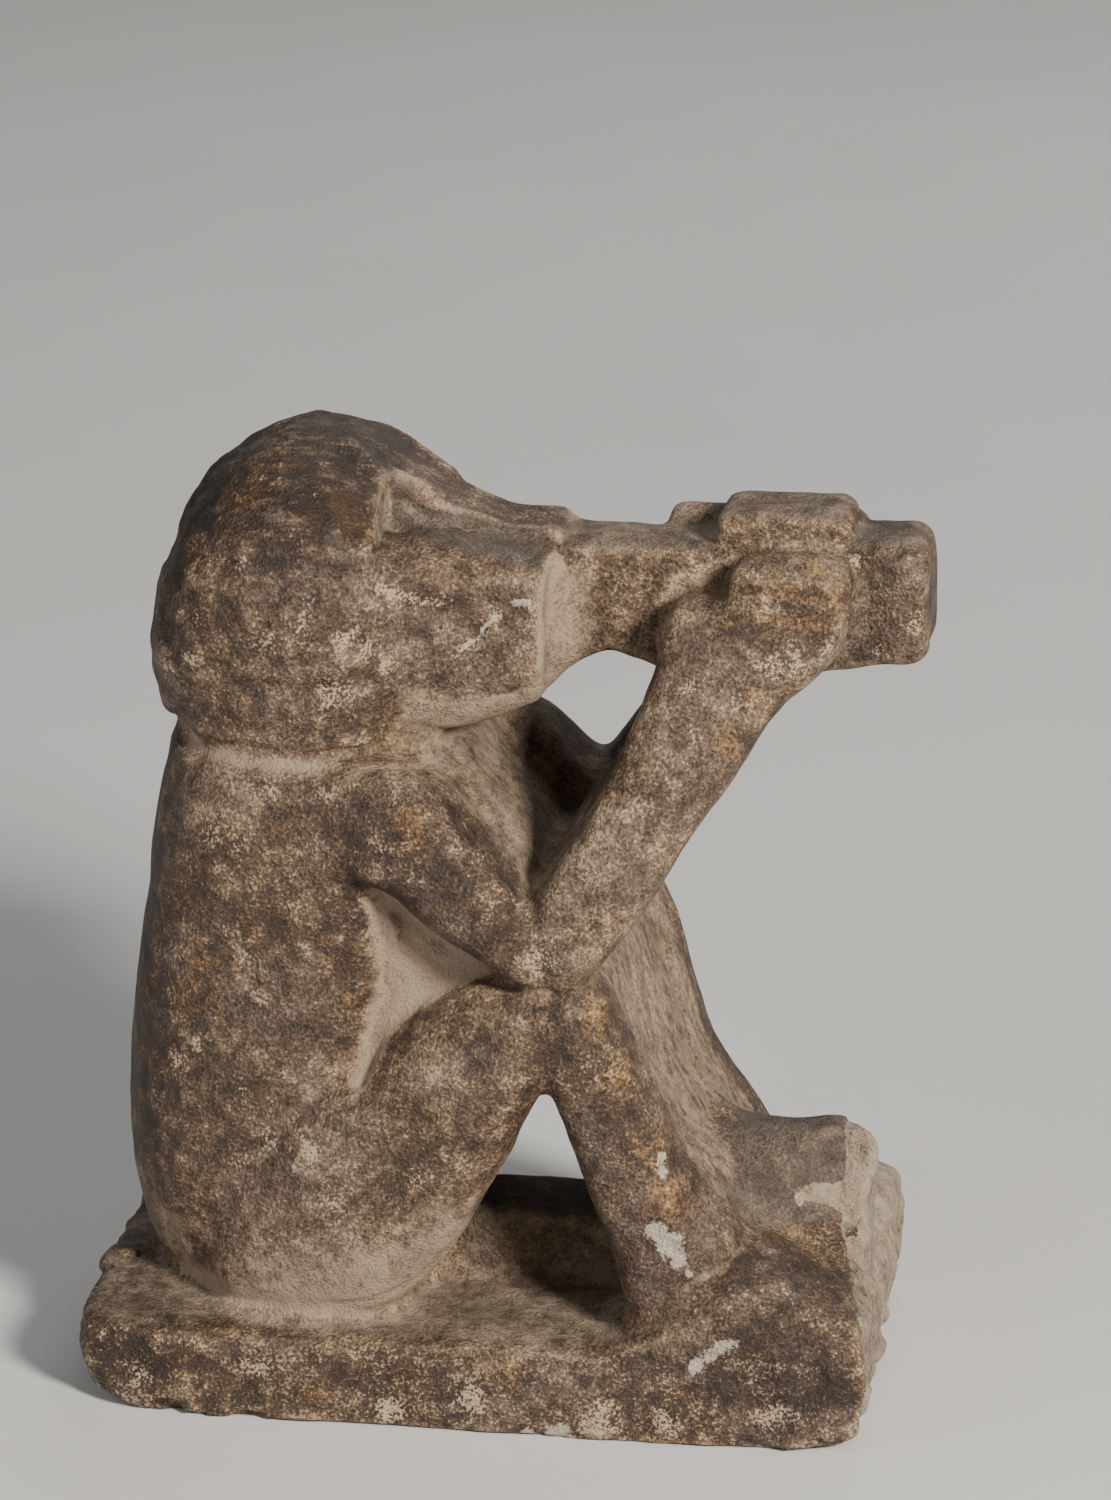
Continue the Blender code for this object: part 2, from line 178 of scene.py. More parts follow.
class Carving:
    """The stone's points as they are worked, in carving millimetres."""

    def __init__(self, stone):
        self.mesh = stone.data
        count = len(self.mesh.vertices)
        flat = np.zeros(count * 3)
        self.mesh.vertices.foreach_get("co", flat)
        self.points = flat.reshape(-1, 3) / MM - CARVING_ORIGIN
        pairs = np.zeros(len(self.mesh.edges) * 2, np.int32)
        self.mesh.edges.foreach_get("vertices", pairs)
        self.ends = pairs.reshape(-1, 2)
        self.neighbours = np.bincount(self.ends.ravel(), minlength=count)
        self.find_normals()

    def find_normals(self):
        """Gives the points back to the mesh and reads the way each of them faces."""
        self.put_back()
        flat = np.zeros(len(self.points) * 3)
        self.mesh.vertices.foreach_get("normal", flat)
        self.normals = flat.reshape(-1, 3)

    def put_back(self):
        self.mesh.vertices.foreach_set("co", ((self.points + CARVING_ORIGIN) * MM).ravel())
        self.mesh.update()

    def keep_inside(self):
        """Brings every point inside the solid's own box."""
        low, high = ((np.array(corner) / MM - CARVING_ORIGIN) for corner in (cad_low, cad_high))
        self.points = np.clip(self.points, low, high)
        self.put_back()

    def average(self, values):
        """Each value's mean over the points next to it."""
        one, two = self.ends.T
        count = len(values)
        total = np.bincount(one, weights=values[two], minlength=count)
        total += np.bincount(two, weights=values[one], minlength=count)
        return total / np.maximum(self.neighbours, 1)

    def spread(self, values, passes):
        """The values evened out with those next to them, again and again."""
        for _ in range(passes):
            values = (values + self.average(values)) / 2
        return values

    def softened(self, passes):
        """The points smoothed all over."""
        return np.stack([self.spread(self.points[:, axis], passes) for axis in range(3)], axis=1)

    def soften(self, share, passes):
        """Smooths the surface where share is above 0."""
        self.points += share[:, None] * (self.softened(passes) - self.points)
        self.find_normals()

    def raise_by(self, heights):
        """Moves the surface outwards by heights in millimetres, inwards where they are below 0."""
        self.points += self.normals * heights[:, None]

    def groove(self, path, half_width, depth):
        """Presses a line into the surface."""
        self.raise_by(-depth * fade(to_path(self.points, path), half_width))

    def scoop(self, centre, radii, ragged, seed):
        """Takes away what lies inside a ragged ball, as a chip does."""
        centre = np.array(centre, float)
        radii = np.array(radii, float)
        away = (self.points - centre) / radii
        length = np.linalg.norm(away, axis=1)
        edge = 1 + ragged * lumps(self.points, 1.1, seed)
        inside = (length < edge) & (length > 0.05)
        moved = centre + away / np.maximum(length, 0.05)[:, None] * radii * edge[:, None]
        self.points[inside] = moved[inside]


def lower_the_mane(work):
    """Brings the mane's sides down over the neck, to the line where it meets the shoulders."""
    x, y, z = work.points.T
    reach = np.interp(x, (-34.0, -30.0, -25.0, -20.0, -15.0, -11.0), (12.5, 15.0, 16.8, 17.1, 16.4, 14.2))
    reach = reach - 0.08 * (66.0 - z) - 1.6 * fade(np.abs(z - 58.9), 1.7)
    share = within(x, -30.5, -13.0, 3.5) * within(z, 59.1, 66.0, 0.6)
    short = np.maximum(reach - np.abs(y), 0) * (np.abs(y) > 6.0)
    work.points[:, 1] += np.sign(y) * short * share
    work.find_normals()


def copy_of_solid():
    """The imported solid's shape as a new object, merged."""
    stone = bpy.data.objects.new("weathered_baboon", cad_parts["baboon_figurine"].data.copy())
    bpy.context.scene.collection.objects.link(stone)
    choose(stone)
    bpy.ops.object.mode_set(mode="EDIT")
    bpy.ops.mesh.select_all(action="SELECT")
    bpy.ops.mesh.remove_doubles(threshold=0.000001)
    bpy.ops.object.mode_set(mode="OBJECT")
    stone.data.materials.clear()
    return stone


NECK_LINE = [
    (-33.9, -9.0, 58.7), (-30.9, -13.7, 58.6), (-25.2, -16.5, 58.6), (-20.0, -16.9, 58.6),
    (-14.8, -17.6, 59.2), (-9.8, -16.8, 59.3), (-6.4, -12.0, 58.4),
]
HIP_LINE = [
    (-34.6, -14.1, 6.9), (-33.8, -12.0, 1.5), (-31.6, -14.4, 0.5), (-26.5, -19.0, 0.8),
    (-21.1, -20.4, 0.6), (-15.8, -20.6, 1.6), (-10.7, -20.2, 3.4), (-7.9, -18.5, 4.8), (-4.5, -18.3, 8.5),
]
MANE_FRONT = [
    (-24.0, 8.5, 88.6), (-20.7, 5.4, 88.9), (-16.8, 0.8, 88.5), (-13.7, -2.3, 87.2), (-12.9, -6.1, 86.2),
    (-12.9, -8.6, 83.6), (-12.8, -11.6, 79.6),
]
CHEEK_EDGE = [
    (-11.8, -14.7, 77.8), (-12.0, -15.7, 73.9), (-12.5, -16.0, 70.3), (-14.0, -15.5, 66.4),
    (-15.9, -14.1, 62.9),
]
FLANK_EDGE = [
    (-12.0, -17.9, 44.6), (-11.4, -17.0, 39.4), (-11.4, -16.4, 34.7), (-12.6, -16.6, 29.5),
    (-13.9, -19.1, 26.0),
]
LOIN_LINE = [(-13.9, -19.1, 26.0), (-17.0, -20.2, 23.4), (-20.4, -20.6, 20.8)]
UNDER_ARM = [
    (-13.6, -19.6, 46.6), (-9.9, -17.1, 43.2), (-6.0, -16.4, 39.9), (-1.9, -17.4, 37.9),
    (2.4, -20.6, 37.9),
]
ELBOW_REST = [(2.4, -20.6, 37.9), (5.7, -22.4, 38.1), (8.6, -21.6, 38.8), (10.8, -18.6, 40.2)]
FINGER_LINES = [
    [(20.9, -8.2, 76.3), (24.2, -12.3, 77.7), (28.7, -12.4, 77.6), (33.9, -11.2, 77.0)],
    [(22.5, -12.6, 74.4), (27.0, -12.6, 74.8), (31.5, -12.4, 75.0), (34.4, -10.4, 74.9)],
]
NOSE_EDGE = [
    (-9.8, -5.0, 83.4), (-7.7, -4.7, 82.7), (-4.8, -3.9, 81.9), (-1.9, -3.5, 81.2), (1.3, -3.7, 80.7),
    (3.6, -4.1, 80.2),
]
BROW_TOP = [(-17.5, -3.5, 88.2), (-14.0, -6.0, 87.0), (-10.8, -5.4, 85.3), (-8.2, -4.2, 83.6)]
BROW = [(-13.3, -7.2, 86.2), (-12.2, -5.5, 85.9), (-11.2, -5.0, 85.4), (-9.8, -4.7, 84.4)]
HAND_HOLLOW = [(17.2, -5.6, 75.4), (15.6, -5.3, 73.3), (14.9, -5.2, 70.8), (14.2, -4.9, 68.0)]
FAR_FINGER_LINES = [
    [(21.4, 1.2, 83.2), (27.0, 1.6, 83.4), (33.0, 2.0, 82.9)],
    [(21.0, -2.6, 82.4), (27.0, -2.4, 82.8), (33.4, -2.2, 82.4)],
]
CHEEK_SCRATCHES = [
    [(-12.1, -15.3, 76.9), (-10.3, -13.7, 76.1), (-7.9, -12.8, 75.4), (-5.3, -12.1, 74.9)],
    [(-4.8, -12.0, 69.8), (-3.5, -11.7, 70.8)],
    [(-2.6, -11.5, 71.7), (-0.4, -11.1, 73.7)],
]
VESSEL_TICK = [(11.0, -4.9, 76.5), (11.0, -5.0, 75.1), (11.0, -5.0, 73.8)]
CHEEK_PIT = [(-9.6, -13.4, 73.0), (-8.8, -13.2, 72.1), (-8.0, -12.9, 71.0)]
SHIN_STREAKS = [
    [(12.6, 13.4, 33.0), (13.1, 12.1, 30.2), (14.9, 11.1, 25.1), (18.1, 5.2, 19.3), (21.3, -3.0, 15.4)],
    [(11.4, 5.5, 34.7), (12.7, 2.1, 30.5), (15.0, -3.4, 25.0), (17.6, -9.6, 20.6), (20.6, -14.0, 16.0)],
    [(11.6, -2.0, 34.0), (13.4, -5.5, 29.2), (16.2, -10.5, 23.0), (19.4, -15.2, 18.0)],
]
TOOL_ARCS = [
    [(-10.1, -16.4, 39.3), (-8.6, -16.1, 38.0), (-7.2, -16.1, 36.4)],
    [(-9.0, -16.2, 40.2), (-7.2, -16.1, 39.0), (-5.6, -16.0, 37.2)],
]
THIGH_SCRATCHES = [
    [(-15.5, -20.0, 23.5), (-18.5, -20.8, 20.8), (-21.5, -20.0, 19.2), (-23.6, -19.4, 18.4)],
    [(-20.6, -20.6, 18.8), (-20.2, -20.9, 15.6)],
]
PLINTH_CRACK = [
    (-16.9, -20.6, 0.2), (-15.7, -24.0, -1.6), (-16.0, -24.5, -5.4), (-16.5, -24.4, -9.8),
]
PLINTH_SHOULDER = [(-40.0, -22.0, -1.5), (20.0, -24.2, -1.5)]
FOOT_CREASE = [
    (14.6, -21.8, 3.0), (17.0, -22.4, 4.6), (19.5, -22.6, 6.4), (23.4, -21.6, 9.0), (25.5, -17.7, 9.6),
]
FOOT_TOP_EDGE = [(25.5, -17.7, 9.6), (28.1, -16.4, 8.6), (31.2, -15.4, 7.4), (34.3, -15.0, 5.9)]
VESSEL_EDGE = [
    (5.2, -4.9, 78.7), (7.5, -4.4, 78.6), (10.5, -4.1, 78.5), (13.6, -4.1, 78.7), (16.6, -3.9, 78.9),
]
HAND_TOP = [(22.5, -4.7, 80.1), (26.8, -5.0, 80.6), (30.8, -4.8, 80.8), (33.5, -5.3, 79.9)]

# Grooves pressed into the stone, or raised where the depth is below 0: (paths, half width, depth)
PAIRED_GROOVES = [
    ([NECK_LINE], 1.4, 0.50), ([BROW_TOP], 2.2, -0.60), ([LOIN_LINE], 0.8, 0.25), ([HIP_LINE], 1.0, 0.35),
    ([FLANK_EDGE], 1.3, 0.55), ([UNDER_ARM], 1.3, 0.75), ([ELBOW_REST], 0.8, 0.40), ([CHEEK_EDGE], 2.2, 0.35),
    (FINGER_LINES, 0.75, 0.40), ([HAND_HOLLOW], 1.4, 0.60), ([FOOT_CREASE], 0.8, 0.30),
    ([BROW, NOSE_EDGE], 1.2, -0.25), ([VESSEL_EDGE, HAND_TOP], 0.8, -0.25),
]
SINGLE_GROOVES = [
    ([MANE_FRONT], 0.9, -0.18), (FAR_FINGER_LINES, 0.6, 0.30), (SHIN_STREAKS, 0.9, 0.40),
    (TOOL_ARCS, 0.5, 0.18), (CHEEK_SCRATCHES, 0.6, 0.20), (THIGH_SCRATCHES, 0.5, 0.15),
    ([PLINTH_CRACK], 0.45, 0.40), ([FOOT_TOP_EDGE], 1.1, -0.30),
]

# Where the forms flow into each other: shoulder, stump, beside the nose and below the eye (x, y, z, radii)
FLOWING_PLACES = [
    (-23.5, 17.0, 49.0, (9.0, 6.0, 11.0)), (24.5, 5.5, 13.0, (6.5, 7.5, 7.5)),
    (-3.5, 8.8, 79.6, (8.5, 3.6, 2.6)), (-10.8, 10.5, 79.6, (3.0, 4.0, 1.9)),
]

# Chips struck out of the stone: (middle, radii, raggedness)
CHIPPED_PLACES = [
    (CHEEK_PIT[-1], (0.9, 0.8, 0.8), 0.2),
    ((-25.6, -20.4, 36.2), (2.2, 3.2, 4.8), 0.08),
    ((-15.4, -18.4, 69.2), (1.6, 1.3, 1.1), 0.25),
    ((-13.3, -17.4, 68.2), (1.5, 1.3, 1.0), 0.25),
    ((-18.3, -18.0, 65.6), (1.9, 1.4, 1.5), 0.3),
    ((-23.6, -19.4, 73.4), (1.8, 1.5, 2.2), 0.3),
    ((-20.4, -19.8, 70.4), (2.2, 1.4, 1.2), 0.3),
    ((18.2, -24.2, 11.2), (2.5, 2.1, 2.3), 0.25),
    ((22.8, -26.0, 0.0), (3.0, 2.0, 1.9), 0.25),
    ((-24.8, -25.4, -10.6), (2.6, 2.6, 2.2), 0.15),
    ((7.0, -25.8, -11.4), (5.0, 2.6, 2.4), 0.2),
    ((-34.0, -26.0, -11.0), (6.0, 3.6, 3.0), 0.2),
    ((-14.0, -26.6, -11.0), (5.0, 2.8, 2.2), 0.2),
    ((22.0, -26.4, -11.4), (7.0, 3.0, 2.4), 0.2),
    ((36.5, -27.0, -10.6), (6.5, 4.2, 3.4), 0.15),
    ((-12.0, 26.2, -10.2), (5.0, 3.0, 2.6), 0.2),
    ((20.0, 26.0, 2.0), (4.0, 2.6, 2.2), 0.2),
    ((-40.9, 14.0, -10.4), (3.0, 4.4, 2.6), 0.2),
    ((-41.6, -6.0, -1.0), (2.4, 3.4, 1.8), 0.2),
    ((4.0, 26.4, -1.0), (6.0, 2.6, 1.8), 0.2),
    ((-30.0, 26.6, -2.0), (5.0, 3.0, 2.0), 0.2),
]

# Patches on the stone: (x, y, z, reach)
CREAM_PATCHES = [
    (-29.2, -17.5, 51.0, 2.4), (-26.4, -18.6, 50.4, 2.4), (-23.4, -18.1, 56.2, 1.8),
    (-16.6, -19.1, 56.4, 1.6), (-11.1, -21.7, 51.8, 1.6), (-33.4, -16.5, 26.1, 1.8),
    (-30.6, -17.6, 27.7, 1.8), (-26.3, -18.7, 24.0, 2.0), (-12.0, -17.7, 28.8, 2.0),
    (-25.9, -16.7, 79.4, 1.8), (-19.1, -12.8, 85.4, 2.0), (-15.2, -17.3, 72.6, 2.2),
    (-13.2, -16.3, 71.1, 2.0), (-11.6, -14.9, 69.1, 1.8), (-16.5, -16.3, 66.4, 3.8),
    (-18.3, -17.8, 76.3, 2.2), (-23.4, -17.9, 71.4, 2.6), (-30.6, -16.3, 72.9, 1.6),
    (-31.3, -15.9, 69.0, 1.6), (-14.6, -13.9, 61.0, 2.4), (-19.6, -18.1, 73.8, 2.4),
    (-16.3, -14.7, 63.9, 3.0), (-25.6, -18.2, 37.5, 2.2), (-24.6, -18.2, 34.0, 2.4),
    (-23.2, -19.1, 18.9, 2.0), (-18.7, -21.0, 18.9, 1.8), (-16.5, -22.1, 14.0, 2.4),
    (-26.4, -18.8, 16.4, 1.8), (-8.0, -22.6, 17.0, 2.0), (5.6, -23.4, 41.5, 3.2),
    (17.3, -21.4, 19.4, 1.8), (24.9, -11.4, 79.5, 1.6), (19.2, -15.3, 68.4, 1.8),
    (20.1, -17.0, 63.6, 1.8), (27.5, -13.7, 70.1, 2.2), (29.3, -13.1, 70.9, 2.4),
    (32.3, -12.2, 72.3, 2.2), (24.2, -15.2, 67.1, 2.2), (16.8, -12.7, 72.3, 1.4), (34.9, -5.7, 79.3, 1.6),
    (40.6, -5.9, 73.3, 1.8), (37.1, -5.9, 70.0, 1.8), (-2.0, -24.3, -6.0, 3.0), (-36.0, -22.0, -5.0, 3.6),
    (-24.0, -24.3, -4.0, 2.4), (12.0, -24.3, -7.5, 3.0), (18.0, -24.2, -7.5, 2.6),
    (30.0, -24.2, -6.0, 3.4), (35.0, -22.0, -7.0, 3.0), (-10.0, -24.3, -8.0, 2.6),
    (-40.0, -18.0, -6.0, 3.0), (-30.0, 15.0, 52.0, 3.2), (-20.0, 17.5, 70.0, 4.0),
    (-12.0, 16.0, 66.0, 3.0), (-25.0, 18.6, 30.0, 3.2), (-8.0, 22.6, 14.0, 3.4), (6.0, 23.4, 42.0, 3.0),
    (16.0, 22.0, 22.0, 2.6), (24.0, 12.6, 70.0, 3.0), (-40.5, 4.0, 34.0, 4.0), (-38.0, -5.0, 60.0, 3.6),
    (-36.0, 6.0, 72.0, 4.0), (-39.0, -2.0, 14.0, 4.0), (-24.0, 2.0, 89.0, 2.6), (4.0, 24.3, -5.0, 3.6),
    (-24.0, 24.3, -4.0, 4.0), (20.0, 24.3, -6.0, 3.0),
]
GREY_PATCHES = [
    (-23.0, -14.5, 83.9, 2.4), (-16.9, -15.5, 81.9, 2.6), (-29.3, -11.1, 83.7, 2.6),
    (-22.2, 1.0, 89.2, 6.0), (-32.2, -7.6, 82.6, 4.0), (-15.4, -15.8, 80.5, 2.4), (-16.9, 1.5, 88.5, 4.0),
    (-27.0, -3.0, 88.0, 4.0), (23.8, -12.9, 74.2, 1.8), (19.8, -12.5, 74.4, 1.8),
    (22.0, -13.7, 71.8, 1.6), (-24.0, 15.0, 82.0, 4.0), (-38.5, -4.0, 50.0, 5.0),
    (-14.0, -20.9, 47.0, 2.0),
]
WHITE_CHIPS = [
    (17.0, -22.2, 12.4, 2.2), (18.5, -22.5, 11.4, 2.5), (19.4, -22.5, 9.9, 1.8), (21.4, -24.2, -1.2, 1.9),
    (22.6, -24.2, 0.2, 1.8), (24.2, -24.2, 1.2, 1.7), (17.2, -21.4, 20.2, 1.1), (17.5, -21.7, 18.4, 1.0),
    (7.5, -24.1, -9.6, 2.6), (4.6, -24.1, -9.8, 1.6), (20.4, -22.5, 8.0, 1.0), (30.0, -6.4, 10.6, 1.0),
    (1.3, -10.8, 75.1, 1.1), (2.4, -10.6, 74.8, 1.2),
]
RUST_PATCHES = [
    (-22.3, -8.2, 88.0, 4.0), (-26.2, -11.8, 85.1, 4.0), (-16.0, -12.5, 84.7, 3.0),
    (-13.6, -13.4, 82.3, 2.6), (-27.6, -12.2, 84.1, 3.4), (-25.0, -9.3, 87.1, 4.0),
    (-15.2, -14.3, 82.7, 2.6), (-31.5, -13.9, 78.7, 3.6), (-33.5, -14.6, 42.8, 4.6),
    (-30.6, -16.7, 37.2, 3.4), (-36.8, -12.3, 33.0, 4.6), (-31.7, -16.6, 32.7, 3.4),
    (-36.6, -14.1, 25.0, 4.6), (-15.9, -18.0, 38.5, 3.0), (-14.6, -17.3, 34.0, 3.0),
    (-25.1, -18.3, 41.3, 2.4), (11.1, -21.4, 34.8, 4.0), (13.2, -21.8, 28.6, 4.5),
    (16.3, -21.7, 21.2, 4.5), (18.3, -21.9, 16.0, 4.0), (-8.0, -22.1, 54.2, 4.0), (9.0, -21.0, 45.0, 3.4),
    (14.0, -18.0, 56.0, 3.0), (31.3, -11.3, 80.0, 2.2), (27.7, -12.4, 78.4, 1.8),
    (25.9, -14.8, 67.1, 2.2), (23.4, -16.4, 63.3, 2.4), (14.2, -4.4, 67.4, 2.4), (33.7, -11.8, 76.9, 1.8),
    (40.5, -5.0, 74.0, 2.2), (-8.0, -24.2, -4.0, 3.0), (2.0, -24.3, -3.0, 3.0), (-18.0, -24.3, -7.0, 3.4),
    (-32.0, -23.6, -4.0, 3.4), (20.0, -24.2, -5.0, 3.0), (-38.0, 8.0, 40.0, 7.0),
    (-30.0, 16.0, 76.0, 5.0), (-8.0, 22.1, 50.0, 6.0), (16.0, 21.9, 18.0, 6.0), (-39.0, -6.0, 24.0, 6.0),
    (-34.0, 2.0, 82.0, 5.0), (20.0, 14.0, 64.0, 5.0),
]


def rough_plinth(points, normals):
    """How roughly dressed the stone is: the plinth's sides are, the figure isn't."""
    low = fade(np.maximum(points[:, 2] + 1.0, 0), 1.6)
    sideways = rise(1 - np.abs(normals[:, 2]), 0.1, 0.55)
    return low * sideways


def broken_front(points, normals):
    """Where the stone has snapped off at the front, with a ragged border."""
    x, y, z = points.T
    border = 33.6 + 0.24 * np.maximum(-y - 4, 0) - 4.6 * fade(np.abs(z - 10.8), 2.4) * rise(-y, 2.0, 5.0)
    border += layered(points, (0.4, 3.0, 41), (0.3, 1.2, 42))
    forwards = rise(normals[:, 0] + 0.6 * rise(z, 6.0, 9.0), 0.1, 0.4)
    return rise(x - border, -0.3, 0.5) * forwards * rise(-z, -18.0, -16.5)


def ball(points, middle, radii):
    """1 up to 0.7 of an ellipsoid's radii, falling to 0 at 1.3 of them."""
    return fade(np.maximum(np.linalg.norm((points - middle) / radii, axis=1) - 0.7, 0), 0.6)


def carve(stone):
    """Works the relief that the hand, the chisel and the years have left."""
    work = Carving(stone)
    ground = fade(work.points[:, 2] - PLINTH_UNDERSIDE, 0.5)

    lower_the_mane(work)
    flowing = [ball(work.points, (x, side * y, z), radii)
               for side in (-1, 1) for x, y, z, radii in FLOWING_PLACES]
    work.soften(np.maximum.reduce(flowing), FLOWING_PASSES)
    work.soften(np.full(len(work.points), 1.0), WORN_PASSES)
    crisp = ((work.points - work.softened(CRISP_PASSES)) * work.normals).sum(axis=1)
    work.raise_by(1.05 * np.clip(crisp, -0.60, 0.50) * (1 - ground))
    work.find_normals()

    figure = 1 - rough_plinth(work.points, work.normals)
    uneven = layered(work.points, (0.34, 10.0, 3), (0.17, 4.6, 4), (0.09, 1.9, 5))
    work.raise_by(figure * (uneven - 0.05) * (1 - ground))
    mane = within(work.points[:, 0], -38.0, -14.5, 3.0) * within(work.points[:, 2], 61.0, 84.0, 3.0)
    worn_hair = layered(work.points, (0.36, 3.1, 6), (0.20, 1.5, 7))
    work.raise_by(mane * worn_hair)

    rough = rough_plinth(work.points, work.normals)
    hewn = layered(work.points, (0.60, 5.2, 11), (0.36, 2.3, 12), (0.16, 1.1, 13))
    work.raise_by(rough * (hewn - 0.40) * (1 - ground))
    work.find_normals()

    for paths, half_width, depth in PAIRED_GROOVES:
        for path in both_sides(paths):
            work.groove(path, half_width, depth)
    for paths, half_width, depth in SINGLE_GROOVES:
        for path in paths:
            work.groove(path, half_width, depth)
    work.find_normals()

    for seed, (middle, radii, ragged) in enumerate(CHIPPED_PLACES, start=21):
        work.scoop(middle, radii, ragged, seed)
    work.find_normals()

    broken = broken_front(work.points, work.normals)
    snapped = layered(work.points, (0.5, 3.4, 51), (0.3, 1.5, 52), (0.12, 0.8, 53))
    work.raise_by(broken * (snapped - 0.35) * (1 - ground))

    work.keep_inside()


def build_stone():
    """The solid's copy made fine enough to carve, carved, and thinned to a mesh of moderate size."""
    stone = copy_of_solid()
    finish_with(stone, "REMESH", mode="VOXEL", voxel_size=STONE_VOXEL)
    carve(stone)
    triangles = sum(len(face.vertices) - 2 for face in stone.data.polygons)
    finish_with(stone, "DECIMATE", ratio=min(1.0, MOST_TRIANGLES / triangles))
    Carving(stone).keep_inside()
    choose(stone)
    bpy.ops.object.shade_smooth()
    return stone


# What the years have left on the stone, with painted light and shade, as attributes of its points

def sheltered(stone, work):
    """How much of the open air round each point is hidden by the stone itself."""
    faces = [face.vertices[:] for face in stone.data.polygons]
    places = work.points.tolist()
    tree = BVHTree.FromPolygons(places, faces)
    golden = math.pi * (3 - math.sqrt(5))
    fan = []
    for i in range(SHELTER_RAYS):
        height = (i + 0.5) / SHELTER_RAYS
        flat = math.sqrt(1 - height * height)
        fan.append((flat * math.cos(i * golden), flat * math.sin(i * golden), height))
    hidden = np.zeros(len(places))
    for i, (place, normal) in enumerate(zip(places, work.normals.tolist())):
        up = Vector(normal)
        across = up.orthogonal().normalized()
        along = up.cross(across)
        start = Vector(place) + up * RAY_START
        met = 0.0
        for a, b, c in fan:
            spot, _, _, distance = tree.ray_cast(start, across * a + along * b + up * c, SHELTER_REACH)
            if spot is not None:
                met += 1 - distance / SHELTER_REACH
        hidden[i] = met / SHELTER_RAYS
    return work.spread(hidden, 3)


def ragged_place(points):
    """The points shifted a little to and fro, for patches with ragged borders."""
    return points + 0.45 * np.stack([lumps(points, 1.2, 60 + axis) for axis in range(3)], axis=1)


def near_lines(points, paths, reach):
    """1 on any of the paths, falling to 0 at this reach."""
    nearest = np.full(len(points), np.inf)
    for path in paths:
        nearest = np.minimum(nearest, to_path(points, path))
    return fade(nearest, reach)


def near_spots(points, spots):
    """1 at the middle of each spot, falling to 0 at its own reach."""
    total = np.zeros(len(points))
    for x, y, z, reach in spots:
        total = np.maximum(total, fade(np.linalg.norm(points - (x, y, z), axis=1), reach))
    return total


def mark(stone, name, values):
    """Keeps a value from 0 to 1 for every point, for the material to read."""
    layer = stone.data.attributes.new(name, "FLOAT", "POINT")
    layer.data.foreach_set("value", np.clip(values, 0, 1).astype(np.float32))


class Places:
    """Parts of the stone, alike on both sides, that several marks ask for: 1 inside each, 0 outside."""

    def __init__(self, points, normals, ragged):
        x, y, z = points.T
        out = np.abs(y)
        self.belly_web = within(x, -11.8, 6.0, 1.2) * rise(-out, -17.2, -16.2) * rise(out, 12.0, 13.0)
        self.belly_web *= within(z, 27.0, 46.0, 3.0)
        self.shin_web = within(x, 10.5, 22.0, 2.0) * rise(-out, -16.5, -14.5) * within(z, 10.0, 38.0, 2.0)
        self.shin_web *= rise(normals[:, 0], 0.2, 0.6)
        self.between_legs = within(z, 0.0, 9.0, 2.0) * rise(-out, -16.0, -14.0) * within(x, -4.0, 20.0, 3.0)
        # The muzzle's end faces the lamp; where it is lightened, that is a painted highlight
        self.muzzle_end = within(x, 3.0, 6.0, 0.6) * within(z, 62.0, 81.0, 1.5)
        self.muzzle_end *= rise(normals[:, 0], 0.35, 0.65)
        self.jaw = rise(-normals[:, 2], -0.02, 0.25) * within(ragged[:, 2], 60.0, 66.0, 1.5)
        self.jaw *= within(x, -9.0, 4.5, 3.0)
        self.vessel_face = rise(normals[:, 2], 0.45, 0.75) * rise(-out, -5.5, -4.5)
        self.vessel_face *= within(x, 5.0, 42.0, 1.0) * rise(z, 77.8, 78.6)
        self.plinth_face = fade(np.abs(z), 1.2) * rise(normals[:, 2], 0.6, 0.9)
        pocket = within(z, 80.8, 85.8, 0.7) * within(out, 5.5, 12.8, 0.5)
        # The eye pocket's rear wall faces the lamp; its pale is a painted highlight
        self.pocket_wall = within(x, -13.1, -12.6, 0.3) * pocket * rise(normals[:, 0], 0.2, 0.6)
        self.pocket_floor = within(x, -12.3, -10.2, 0.5) * pocket * rise(-normals[:, 0], -0.75, -0.4)
        self.mane_top = rise(z, 76.0, 83.0) * rise(-x, 11.0, 13.0)

        self.line = near_lines(points, both_sides([NECK_LINE]), 1.5)
        self.line = np.maximum(self.line, near_lines(ragged, both_sides([ELBOW_REST]), 0.8))
        self.flank = near_lines(ragged, both_sides([FLANK_EDGE]), 3.0)
        self.flank = np.maximum(self.flank, 0.7 * near_lines(ragged, both_sides([LOIN_LINE]), 0.9))
        self.above_hip = rise(z - 1.0, -0.6, 0.4) * near_lines(ragged, both_sides([HIP_LINE]), 12.0)
        self.above_hip *= 0.45 + 0.55 * within(x, -20.0, -7.0, 9.0)
        self.above_hip = np.maximum(
            self.above_hip, rise(z - 0.5, -0.8, 0.2) * near_lines(ragged, both_sides([HIP_LINE]), 4.5))


